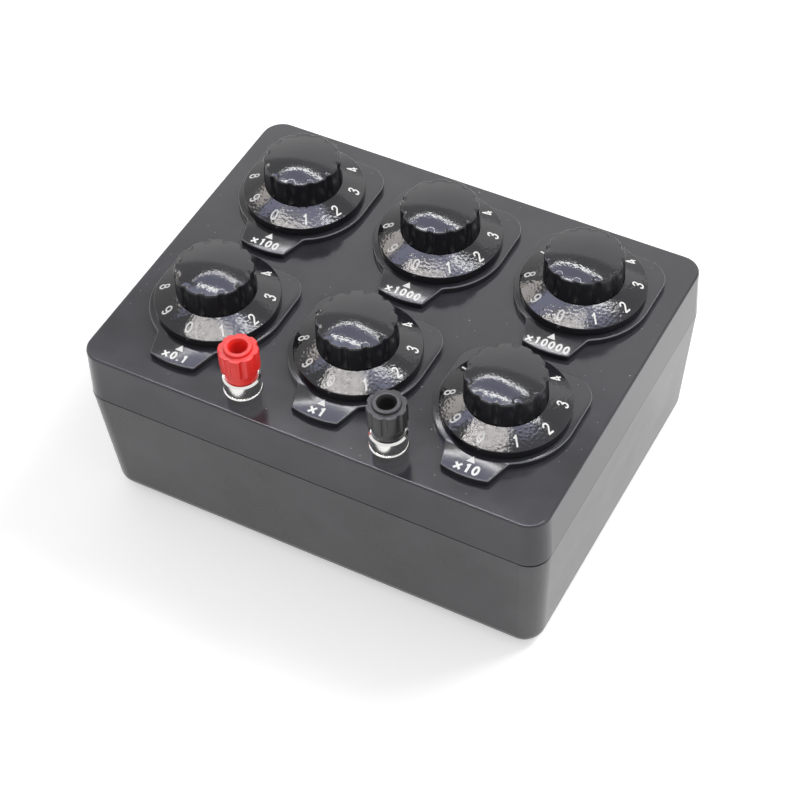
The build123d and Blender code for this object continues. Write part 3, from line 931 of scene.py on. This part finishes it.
@dataclass
class Dial:
    """A dial: the numbered skirt and the fluted knob on it."""

    skirt_radius: float = 20.2 * MM
    skirt_foot: float = 2.55 * MM
    rim_height: float = 5.2 * MM
    rim_round: float = 0.35 * MM
    skirt_crown: float = 8.0 * MM
    skirt_wall: float = 1.4 * MM
    skirt_thickness: float = 1.7 * MM
    core_radius: float = 11.5 * MM
    core_floor: float = 5.6 * MM
    hub_radius: float = 5.0 * MM
    hub_foot: float = 5.45 * MM
    bore: float = 3.02 * MM
    shaft_top: float = 14.2 * MM
    foot_radius: float = 12.9 * MM
    rim_radius: float = 12.6 * MM
    rim_level: float = 16.7 * MM
    edge_radius: float = 0.6 * MM
    crown: float = 18.7 * MM
    flutes: int = 12
    flute_radius: float = 2.0 * MM
    flute_depth: float = 0.6 * MM
    flute_blend: float = 0.12 * MM
    screw_level: float = 11.4 * MM
    screw_radius: float = 1.52 * MM
    screw_hole_start: float = 1.5 * MM
    screw_hole_reach: float = 20.0 * MM
    screw_hole_points: int = 32
    figure_inner: float = 15.2 * MM
    figure_outer: float = 18.9 * MM
    figure_pen: float = 0.54 * MM
    relief: float = 0.03 * MM
    round_points: int = 288
    hub_gap: float = 0.05 * MM
    crown_round: float = 0.2 * MM
    foot_round: float = 0.15 * MM
    inner_round: float = 0.3 * MM
    wall_rise: float = 0.6 * MM
    knob_chamfer: float = 0.1 * MM
    mark_crease: float = 30.0
    knob_crease: float = 50.0
    edge_steps: int = 8
    edge_sweep: float = 80.0
    dome_steps: int = 25
    flute_fade: int = 3
    knob_turn: float = 12.0

    def cone_level(self, radius: float) -> float:
        """The skirt's height at a radius."""
        share = (radius - self.foot_radius) / (self.skirt_radius - self.rim_round - self.foot_radius)
        return self.skirt_crown + (self.rim_height - self.skirt_crown) * share

    def skirt(self, name: str) -> bpy.types.Mesh:
        """The skirt: a shallow cone, turned down at its rim and hollow below.

        Args:
            name: The mesh's name.

        Returns:
            The mesh.
        """
        bore = self.hub_radius + self.hub_gap
        inside = self.skirt_radius - self.skirt_wall
        corners = [
            Corner(bore, self.skirt_crown),
            Corner(self.foot_radius, self.skirt_crown, self.crown_round),
            Corner(self.skirt_radius, self.cone_level(self.skirt_radius), self.rim_round),
            Corner(self.skirt_radius, self.skirt_foot, self.foot_round),
            Corner(inside, self.skirt_foot, self.foot_round),
            Corner(inside, self.rim_height - self.skirt_thickness + self.wall_rise, self.inner_round),
            Corner(self.foot_radius, self.skirt_crown - self.skirt_thickness, self.inner_round),
            Corner(self.core_radius, self.core_floor, self.inner_round),
            Corner(bore, self.core_floor),
        ]
        return turned(name, rounded_path(corners, closed=True, steps=6), self.round_points, looped=True)

    def figures(self, name: str) -> bpy.types.Mesh:
        """The ten figures on the cone, their tops towards the knob, the 0 in front.

        Args:
            name: The mesh's name.

        Returns:
            The mesh.
        """
        ring = bmesh.new()
        middle = (self.figure_inner + self.figure_outer) / 2
        for figure in range(POSITIONS):
            bm = lettering(str(figure), self.figure_outer - self.figure_inner, self.figure_pen)
            turn = Matrix.Rotation(math.radians(figure * STEP), 3, "Z")
            for v in bm.verts:
                flat = turn @ Vector((v.co.x, v.co.y - middle, 0.0))
                v.co = Vector((flat.x, flat.y, self.cone_level(flat.length) + v.co.z * self.relief))
            scratch = bpy.data.meshes.new("figure")
            bm.to_mesh(scratch)
            bm.free()
            ring.from_mesh(scratch)
            bpy.data.meshes.remove(scratch)
        return finished(name, ring, self.mark_crease)

    def flute(self, angle: float) -> float:
        """The knob's foot radius at an angle, with its flutes.

        Args:
            angle: The angle in degrees; a flute lies at 90.

        Returns:
            The radius.
        """
        pitch = 360 / self.flutes
        off = math.radians((angle - 90 + pitch / 2) % pitch - pitch / 2)
        reach = self.foot_radius - self.flute_depth + self.flute_radius
        side = reach * math.sin(off)
        if abs(side) >= self.flute_radius:
            return self.foot_radius
        groove = reach * math.cos(off) - math.sqrt(self.flute_radius**2 - side**2)
        gap = max(0.0, self.flute_blend - abs(groove - self.foot_radius)) / self.flute_blend
        return min(groove, self.foot_radius) - gap * gap * self.flute_blend / 4

    def knob(self, name: str) -> bpy.types.Mesh:
        """The knob: fluted wall, rounded edge, domed top, and a hub bored for the shaft.

        Args:
            name: The mesh's name.

        Returns:
            The mesh.
        """
        angles = [360 * i / self.round_points for i in range(self.round_points)]
        cuts = [self.flute(a) - self.foot_radius for a in angles]
        spokes = [Vector((math.cos(math.radians(a)), math.sin(math.radians(a)), 0.0)) for a in angles]

        def ring(radius: float, level: float, depth: float) -> Ring:
            """A ring whose flutes keep a share of their depth."""
            return [s * (radius + c * depth) + Vector((0, 0, level)) for s, c in zip(spokes, cuts)]

        rings = [ring(self.bore, self.shaft_top, 0.0), ring(self.bore, self.hub_foot, 0.0)]
        rings += [ring(self.hub_radius, self.hub_foot, 0.0), ring(self.hub_radius, self.skirt_crown, 0.0)]
        rings += [ring(self.foot_radius - self.knob_chamfer, self.skirt_crown, 1.0)]
        rings += [ring(self.foot_radius, self.skirt_crown + self.knob_chamfer, 1.0)]
        rings += [ring(self.rim_radius, self.rim_level, 1.0)]
        for k in range(1, self.edge_steps + 1):
            turn = math.radians(self.edge_sweep * k / self.edge_steps)
            radius = self.rim_radius - self.edge_radius * (1 - math.cos(turn))
            rings.append(ring(radius, self.rim_level + self.edge_radius * math.sin(turn), 1.0))
        edge, level = radius, self.rim_level + self.edge_radius * math.sin(turn)
        for k in range(1, self.dome_steps):
            share = 1 - k / self.dome_steps
            height = level + (self.crown - level) * (1 - share**2)
            rings.append(ring(edge * share, height, max(0.0, 1.0 - k / self.flute_fade)))
        return skin(name, rings, crease=self.knob_crease)

    def drilled(self, mesh: bpy.types.Mesh) -> bpy.types.Mesh:
        """The knob with the grub screw's hole in its back.

        Args:
            mesh: The knob without the hole.

        Returns:
            The knob with it.
        """
        profile = [(self.screw_radius, 0.0), (self.screw_radius, self.screw_hole_reach)]
        drill = bpy.data.objects.new("drill", turned("drill", profile, self.screw_hole_points))
        to_back = Matrix.Rotation(math.radians(-90), 4, "X")
        drill.matrix_world = Matrix.Translation((0, self.screw_hole_start, self.screw_level)) @ to_back
        blank = bpy.data.objects.new("blank", mesh)
        for o in (drill, blank):
            bpy.context.scene.collection.objects.link(o)
        cut = blank.modifiers.new("hole", "BOOLEAN")
        cut.object = drill
        cut.solver = "EXACT"
        bpy.context.view_layer.update()
        done = bpy.data.meshes.new_from_object(blank.evaluated_get(bpy.context.evaluated_depsgraph_get()))
        for o in (drill, blank):
            bpy.data.objects.remove(o)
        done.name = mesh.name
        return done

    def build(
        self,
        decade: Decade,
        place: Point,
        turn: float,
        knob_mesh: bpy.types.Mesh,
        finishes: dict[str, bpy.types.Material],
    ) -> None:
        """Builds one dial.

        Args:
            decade: Its decade.
            place: Its axis.
            turn: How far the figures are turned, in degrees.
            knob_mesh: The knob.
            finishes: The finishes by name.
        """
        body = f"dial_{decade.node}"
        skirt = self.skirt(f"skirt_{decade.node}")
        figures = self.figures(f"figures_{decade.node}")
        node = f"dial_skirt_{decade.node}"
        stand(f"skirt_{decade.node}", skirt, place, turn, body, finishes["skirt"], [node])
        stand(f"figures_{decade.node}", figures, place, turn, body, finishes["paint"])
        name, node = f"fluted_knob_{decade.node}", f"knob_{decade.node}"
        stand(name, knob_mesh, place, 0.0, body, finishes["knob"], [node])
        log.info("dial %s built", decade.node)


@dataclass
class PostCap:
    """The grooved plastic cap of a binding post, with a raised ring round its mouth."""

    foot: float = 7.5 * MM
    foot_radius: float = 5.05 * MM
    flare_foot: float = 10.4 * MM
    flare_height: float = 1.2 * MM
    radius: float = 6.25 * MM
    shoulder: float = 18.9 * MM
    top: float = 20.0 * MM
    ring_radius: float = 4.4 * MM
    mouth_radius: float = 3.1 * MM
    throat_radius: float = 2.6 * MM
    mouth_depth: float = 1.2 * MM
    insert_radius: float = 4.2 * MM
    insert_top: float = 13.6 * MM
    grooves: int = 8
    groove_radius: float = 1.3 * MM
    groove_depth: float = 0.65 * MM
    blend: float = 0.15 * MM
    round_points: int = 240

    def outline(self, angle: float, radius: float, first: float) -> float:
        """The cap's radius at an angle, where the plain radius is cut by a groove.

        Args:
            angle: The angle in degrees.
            radius: The plain radius.
            first: A groove's angle in degrees.

        Returns:
            The radius there.
        """
        pitch = 360 / self.grooves
        off = math.radians((angle - first + pitch / 2) % pitch - pitch / 2)
        reach = self.radius + self.groove_radius - self.groove_depth
        side = reach * math.sin(off)
        if abs(side) >= self.groove_radius:
            return radius
        groove = reach * math.cos(off) - math.sqrt(self.groove_radius**2 - side**2)
        gap = max(0.0, self.blend - abs(groove - radius)) / self.blend
        return min(groove, radius) - gap * gap * self.blend / 4

    def mesh(self, name: str, first: float) -> bpy.types.Mesh:
        """Builds the cap.

        Args:
            name: The mesh's name.
            first: A groove's angle in degrees.

        Returns:
            The mesh.
        """
        corners = [
            Corner(self.throat_radius, self.insert_top),
            Corner(self.insert_radius, self.insert_top),
            Corner(self.insert_radius, self.foot),
            Corner(self.foot_radius, self.foot, 0.2 * MM),
            Corner(self.foot_radius, self.flare_foot, 0.3 * MM),
            Corner(self.radius, self.flare_foot + self.flare_height, 0.4 * MM),
            Corner(self.radius, self.shoulder, 0.35 * MM),
            Corner(self.ring_radius, self.shoulder, 0.25 * MM),
            Corner(self.ring_radius, self.top, 0.35 * MM),
            Corner(self.mouth_radius, self.top, 0.25 * MM),
            Corner(self.throat_radius, self.top - self.mouth_depth, 0.3 * MM),
        ]
        spokes = [360 * i / self.round_points for i in range(self.round_points)]
        rings = []
        for radius, level in rounded_path(corners, closed=True, steps=5):
            ring = []
            for spoke in spokes:
                grooved = radius > self.ring_radius and level > self.flare_foot - 0.5 * MM
                reach = self.outline(spoke, radius, first) if grooved else radius
                a = math.radians(spoke)
                ring.append(Vector((reach * math.cos(a), reach * math.sin(a), level)))
            rings.append(ring)
        return skin(name, rings, looped=True, crease=40.0)


@dataclass
class BindingPosts:
    """Both posts: plated bodies, inserts and coloured caps."""

    cap: PostCap = field(default_factory=PostCap)
    nickel: TurnedMetal = TurnedMetal("post_nickel", (0.80, 0.79, 0.77), 0.13, tarnish=0.06)
    brass: TurnedMetal = TurnedMetal("insert_brass", (0.78, 0.58, 0.26), 0.28)

    def build(self) -> None:
        """Builds the two posts."""
        nickel, brass = self.nickel.material(), self.brass.material()
        finishes = {
            Pole.RED: MouldedPlastic("cap_red", (0.78, 0.02, 0.015), 0.33, glow=0.25, peel=3e-6),
            Pole.BLACK: MouldedPlastic("cap_black", (0.02, 0.02, 0.021), 0.33, peel=3e-6),
        }
        places = {Pole.RED: (-COLUMN_PITCH / 2, POST_Y), Pole.BLACK: (COLUMN_PITCH / 2, POST_Y)}
        first_grooves = {Pole.RED: -93.0, Pole.BLACK: -70.0}
        for pole in Pole:
            dress(f"post_body_{pole.value}", nickel)
            dress(f"post_insert_{pole.value}", brass)
            name = f"cap_{pole.value}"
            mesh = self.cap.mesh(name, first_grooves[pole])
            finish = finishes[pole].material()
            stand(name, mesh, places[pole], 0.0, name, finish, [f"post_cap_{pole.value}"])
            log.info("post %s built", pole.value)
        for node in ("post_nuts", "solder_tags"):
            dress(node, nickel)


@dataclass
class InnerWorks:
    """What is inside the case and the dials: bushes, switches, cards, wires and shafts."""

    brass: TurnedMetal = TurnedMetal("works_brass", (0.76, 0.56, 0.25), 0.3)
    bronze: TurnedMetal = TurnedMetal("wiper_bronze", (0.68, 0.42, 0.2), 0.3)
    steel: TurnedMetal = TurnedMetal("works_steel", (0.6, 0.6, 0.62), 0.32)
    copper: TurnedMetal = TurnedMetal("tinned_copper", (0.74, 0.5, 0.38), 0.25)
    board: Laminate = Laminate("deck_board", (0.2, 0.09, 0.035))
    card: WoundWire = WoundWire("card_winding", (0.45, 0.27, 0.12))

    def build(self) -> None:
        """Dresses the inner nodes."""
        brass, steel = self.brass.material(), self.steel.material()
        groups = [
            (brass, ["bushes", "bush_nuts", "contact_studs", "collector_rings"]),
            (steel, ["index_housings", "deck_spacers"]),
            (self.board.material(), ["switch_decks"]),
            (self.card.material(), ["resistance_cards"]),
            (self.copper.material(), ["link_wires"]),
            (self.bronze.material(), [f"wiper_{d.node}" for d in Decade]),
            (brass, [f"shaft_{d.node}" for d in Decade]),
            (steel, [f"grub_screw_{d.node}" for d in Decade]),
        ]
        for material, nodes in groups:
            for node in nodes:
                dress(node, material)
        log.info("inner works dressed")


@dataclass(frozen=True)
class Lamp:
    """A flat rectangular lamp that faces the dials from a direction, and doesn't show in gloss."""

    name: str
    azimuth: float
    elevation: float
    distance: float
    width: float
    height: float
    radiance: float

    def build(self, aim: Vector) -> None:
        """Hangs the lamp.

        Args:
            aim: What it faces.
        """
        data = bpy.data.lights.new(self.name, "AREA")
        data.shape = "RECTANGLE"
        data.size = self.width
        data.size_y = self.height
        data.energy = self.radiance * math.pi * self.width * self.height
        lamp = bpy.data.objects.new(self.name, data)
        bpy.context.scene.collection.objects.link(lamp)
        out = towards(self.azimuth, self.elevation)
        lamp.location = aim + out * self.distance
        lamp.rotation_mode = "QUATERNION"
        lamp.rotation_quaternion = out.to_track_quat("Z", "Y")
        lamp.visible_glossy = False


def towards(azimuth: float, elevation: float) -> Vector:
    """The direction from the object to someone who looks at it.

    Args:
        azimuth: Degrees to the right of the front.
        elevation: Degrees above the table.

    Returns:
        The unit vector.
    """
    a, e = math.radians(azimuth), math.radians(elevation)
    return Vector((math.sin(a) * math.cos(e), -math.cos(a) * math.cos(e), math.sin(e)))


@dataclass(frozen=True)
class Card:
    """A card that lies level overhead and shows in gloss.

    Its corners are given per metre of height, to the right and to the back.
    """

    name: str
    corners: tuple[Point, ...]
    radiance: float
    colour: Colour = (1.0, 1.0, 1.0)
    height: float = 1.2

    def build(self, under: Vector) -> None:
        """Hangs the card.

        Args:
            under: The place that its corners are measured from.
        """
        mesh = bpy.data.meshes.new(self.name)
        points = [(x * self.height, y * self.height, 0.0) for x, y in self.corners]
        mesh.from_pydata(points, [], [range(len(points))])
        card = bpy.data.objects.new(self.name, mesh)
        bpy.context.scene.collection.objects.link(card)
        card.location = under + Vector((0.0, 0.0, self.height))
        card.visible_diffuse = False
        material = bpy.data.materials.new(self.name)
        material.use_nodes = True
        tree = material.node_tree
        tree.nodes.clear()
        light = tree.nodes.new("ShaderNodeEmission")
        light.inputs["Color"].default_value = (*self.colour, 1.0)
        light.inputs["Strength"].default_value = self.radiance
        out = tree.nodes.new("ShaderNodeOutputMaterial")
        tree.links.new(light.outputs["Emission"], out.inputs["Surface"])
        mesh.materials.append(material)


def band(line: Sequence[Point], width: float) -> tuple[Point, ...]:
    """The outline of a band along a line.

    Args:
        line: The band's one side.
        width: How far its other side lies behind.

    Returns:
        The outline's corners.
    """
    return (*line, *((x, y + width) for x, y in reversed(line)))


def shifted(line: Sequence[Point], back: float) -> tuple[Point, ...]:
    """The line moved to the back."""
    return tuple((x, y + back) for x, y in line)


BLUISH: Colour = (0.72, 0.74, 1.0)
WARM: Colour = (1.0, 0.96, 0.93)

# Lines and outlines overhead, in a card's own measure
ARCH: tuple[Point, ...] = (
    (-0.68, 0.34), (-0.66, 0.45), (-0.61, 0.53), (-0.53, 0.58), (-0.44, 0.59), (-0.30, 0.56), (-0.15, 0.52),
    (-0.03, 0.49), (0.05, 0.46),
)
FOOT: tuple[Point, ...] = ((-0.57, 0.335), (-0.40, 0.32), (-0.28, 0.315), (-0.17, 0.305), (-0.07, 0.30))
BRIM: tuple[Point, ...] = ((-0.56, -0.22), (-0.40, -0.26), (-0.22, -0.26), (-0.02, -0.2), (0.1, -0.12))
EDGE: tuple[Point, ...] = ((0.10, 0.13), (0.18, 0.17), (0.29, 0.28), (0.36, 0.37), (0.41, 0.46))
SKYLIGHT: tuple[Point, ...] = (
    (-0.95, -0.04), (0.14, -0.01), (0.30, 0.10), (0.42, 0.36), (0.30, 0.30), (0.10, 0.28), (-0.80, 0.28),
)
LEFT: tuple[Point, ...] = ((-1.6, 0.78), (-1.3, 0.30), (-1.0, 0.08), (-0.9, 0.2), (-1.15, 0.62))
WALL: tuple[Point, ...] = ((-1.5, 0.88), (0.4, 0.79), (0.6, 2.6), (-2.4, 2.6))
BRIM_STEPS: dict[str, float] = {"near": 0.0, "middle": 0.08, "far": 0.16}


@dataclass
class Studio:
    """A pale floor, soft light, cards for what gloss mirrors, and the camera at the photograph's place."""

    azimuth: float = 30.40
    elevation: float = 48.64
    roll: float = -3.17
    distance: float = 686.04 * MM
    shift_right: float = -0.16 * MM
    shift_up: float = -29.24 * MM
    lens: float = 97.81
    floor_half: float = 4.0
    floor_white: float = 0.86
    lift: float = 0.42
    lift_from: float = 0.15
    lift_to: float = 0.6
    ambient: float = 0.7
    lamps: tuple[Lamp, ...] = (
        Lamp("fill", azimuth=140.0, elevation=50.0, distance=1.3, width=0.5, height=0.4, radiance=13.0),
    )
    cards: tuple[Card, ...] = (
        Card("window", (*FOOT, *reversed(ARCH)), 3.0, (0.74, 0.75, 1.0)),
        Card("window_arch", band(ARCH, 0.03), 28.0),
        Card("window_foot", band(FOOT, -0.035), 26.0),
        Card("skylight", SKYLIGHT, 4.6, BLUISH),
        *(
            Card(f"skylight_brim_{name}", band(shifted(BRIM, step), 0.035), 25.0, WARM)
            for name, step in BRIM_STEPS.items()
        ),
        Card("skylight_edge", band(EDGE, 0.06), 24.0, height=1.18),
        Card("left", LEFT, 6.5, (1.0, 0.93, 0.88)),
        Card("wall", WALL, 1.9),
    )

    def seen(self, tree: bpy.types.NodeTree) -> bpy.types.NodeSocket:
        """1 for the camera's rays and for what metal, gloss and glass show, 0 for other light.

        Args:
            tree: The node tree.

        Returns:
            The value.
        """
        path = tree.nodes.new("ShaderNodeLightPath")
        total = path.outputs["Is Camera Ray"]
        for name in ("Is Glossy Ray", "Is Transmission Ray"):
            step = tree.nodes.new("ShaderNodeMath")
            step.operation = "MAXIMUM"
            tree.links.new(total, step.inputs[0])
            tree.links.new(path.outputs[name], step.inputs[1])
            total = step.outputs["Value"]
        return total

    def floor(self) -> None:
        """The floor, which keeps the object's shadow."""
        mesh = bpy.data.meshes.new("floor")
        bm = bmesh.new()
        bmesh.ops.create_grid(bm, x_segments=1, y_segments=1, size=self.floor_half)
        bm.to_mesh(mesh)
        bm.free()
        floor = bpy.data.objects.new("floor", mesh)
        bpy.context.scene.collection.objects.link(floor)
        material = bpy.data.materials.new("floor_white")
        material.use_nodes = True
        tree = material.node_tree
        tree.nodes.clear()
        paper = tree.nodes.new("ShaderNodeBsdfDiffuse")
        paper.inputs["Color"].default_value = (self.floor_white,) * 3 + (1.0,)
        light = tree.nodes.new("ShaderNodeEmission")
        strength = tree.nodes.new("ShaderNodeMath")
        strength.operation = "MULTIPLY"
        place = tree.nodes.new("ShaderNodeTexCoord")
        far = tree.nodes.new("ShaderNodeVectorMath")
        far.operation = "LENGTH"
        tree.links.new(place.outputs["Object"], far.inputs[0])
        lift = tree.nodes.new("ShaderNodeMapRange")
        lift.inputs["From Min"].default_value = self.lift_from
        lift.inputs["From Max"].default_value = self.lift_to
        lift.inputs["To Min"].default_value = self.lift
        lift.inputs["To Max"].default_value = 1.0
        tree.links.new(far.outputs["Value"], lift.inputs["Value"])
        tree.links.new(lift.outputs["Result"], strength.inputs[1])
        tree.links.new(self.seen(tree), strength.inputs[0])
        tree.links.new(strength.outputs["Value"], light.inputs["Strength"])
        both = tree.nodes.new("ShaderNodeAddShader")
        out = tree.nodes.new("ShaderNodeOutputMaterial")
        tree.links.new(paper.outputs["BSDF"], both.inputs[0])
        tree.links.new(light.outputs["Emission"], both.inputs[1])
        tree.links.new(both.outputs["Shader"], out.inputs["Surface"])
        mesh.materials.append(material)

    def world(self) -> None:
        """White surroundings."""
        world = bpy.data.worlds.new("surroundings")
        bpy.context.scene.world = world
        world.use_nodes = True
        tree = world.node_tree
        background = tree.nodes["Background"]
        background.inputs["Color"].default_value = (1.0, 1.0, 1.0, 1.0)
        span = tree.nodes.new("ShaderNodeMapRange")
        span.inputs["To Min"].default_value = self.ambient
        span.inputs["To Max"].default_value = 1.0
        tree.links.new(self.seen(tree), span.inputs["Value"])
        tree.links.new(span.outputs["Result"], background.inputs["Strength"])

    def camera(self) -> None:
        """The camera, placed by fitting the case's corners and the dials to the photograph."""
        back = towards(self.azimuth, self.elevation)
        level = Vector((0, 0, 1)).cross(back).normalized()
        upright = back.cross(level)
        roll = math.radians(self.roll)
        right = level * math.cos(roll) + upright * math.sin(roll)
        up = upright * math.cos(roll) - level * math.sin(roll)
        aim = Vector((0, 0, PANEL_Z)) + level * self.shift_right + upright * self.shift_up
        eye = aim + back * self.distance
        data = bpy.data.cameras.new("camera")
        data.lens = self.lens
        data.sensor_width = 36.0
        data.clip_start = 0.01
        camera = bpy.data.objects.new("camera", data)
        bpy.context.scene.collection.objects.link(camera)
        camera.matrix_world = Matrix.Translation(eye) @ Matrix((right, up, back)).transposed().to_4x4()
        bpy.context.scene.camera = camera

    def build(self) -> None:
        """Sets up floor, surroundings, lamps, cards and camera."""
        self.floor()
        self.world()
        for lamp in self.lamps:
            lamp.build(Vector((0.0, FRONT_ROW_Y, PANEL_Z)))
        for card in self.cards:
            card.build(Vector((COLUMN_PITCH / 2, FRONT_ROW_Y, PANEL_Z)))
        self.camera()
        bpy.context.scene.view_settings.view_transform = "Standard"
        log.info("studio set up")


def dial_finishes() -> dict[str, bpy.types.Material]:
    """The finishes that the six plates and dials share, by name.

    Returns:
        The materials.
    """
    gloss: Colour = (0.008, 0.008, 0.011)
    finishes = {
        "plate": MouldedPlastic("plate_black", (0.018, 0.018, 0.022), 0.1, smudge=0.04, dust=0.6),
        # A lighter grey for the plates' rounded top edge: a painted highlight.
        "plate_edge": MouldedPlastic("plate_edge_painted_highlight", (0.13, 0.13, 0.14), 0.3),
        "skirt": MouldedPlastic(
            "skirt_gloss", gloss, 0.06, peel=5e-5, peel_scale=1100.0, peel_detail=0.6, wall_peel=0.0
        ),
        "knob": MouldedPlastic(
            "knob_gloss", gloss, 0.06, peel=1.5e-5, peel_scale=1500.0, peel_detail=0.5, wall_peel=0.0,
            wall_roughness=0.28,
        ),
        "paint": FilledMark("mark_white"),
    }
    return {name: finish.material() for name, finish in finishes.items()}


PLACES: dict[Decade, Point] = {
    Decade.TENTHS: (-COLUMN_PITCH, FRONT_ROW_Y),
    Decade.UNITS: (0.0, FRONT_ROW_Y),
    Decade.TENS: (COLUMN_PITCH, FRONT_ROW_Y),
    Decade.HUNDREDS: (-COLUMN_PITCH, BACK_ROW_Y),
    Decade.THOUSANDS: (0.0, BACK_ROW_Y),
    Decade.TEN_THOUSANDS: (COLUMN_PITCH, BACK_ROW_Y),
}
LEANS: dict[Decade, float] = {Decade.HUNDREDS: -4.7}


def main() -> None:
    """Builds the box, dial by dial and post by post, and its studio."""
    logging.basicConfig(level=logging.INFO, format="%(name)s: %(message)s")
    Case().build()
    InnerWorks().build()
    BindingPosts().build()
    plate, dial = ScalePlate(), Dial()
    finishes = dial_finishes()
    knob_mesh = dial.drilled(dial.knob("knob"))
    knob_mesh.transform(Matrix.Rotation(math.radians(dial.knob_turn), 4, "Z"))
    for decade, place in PLACES.items():
        plate.build(decade, place, finishes)
        dial.build(decade, place, LEANS.get(decade, 0.0), knob_mesh, finishes)
    Studio().build()


if __name__ == "__main__":
    main()
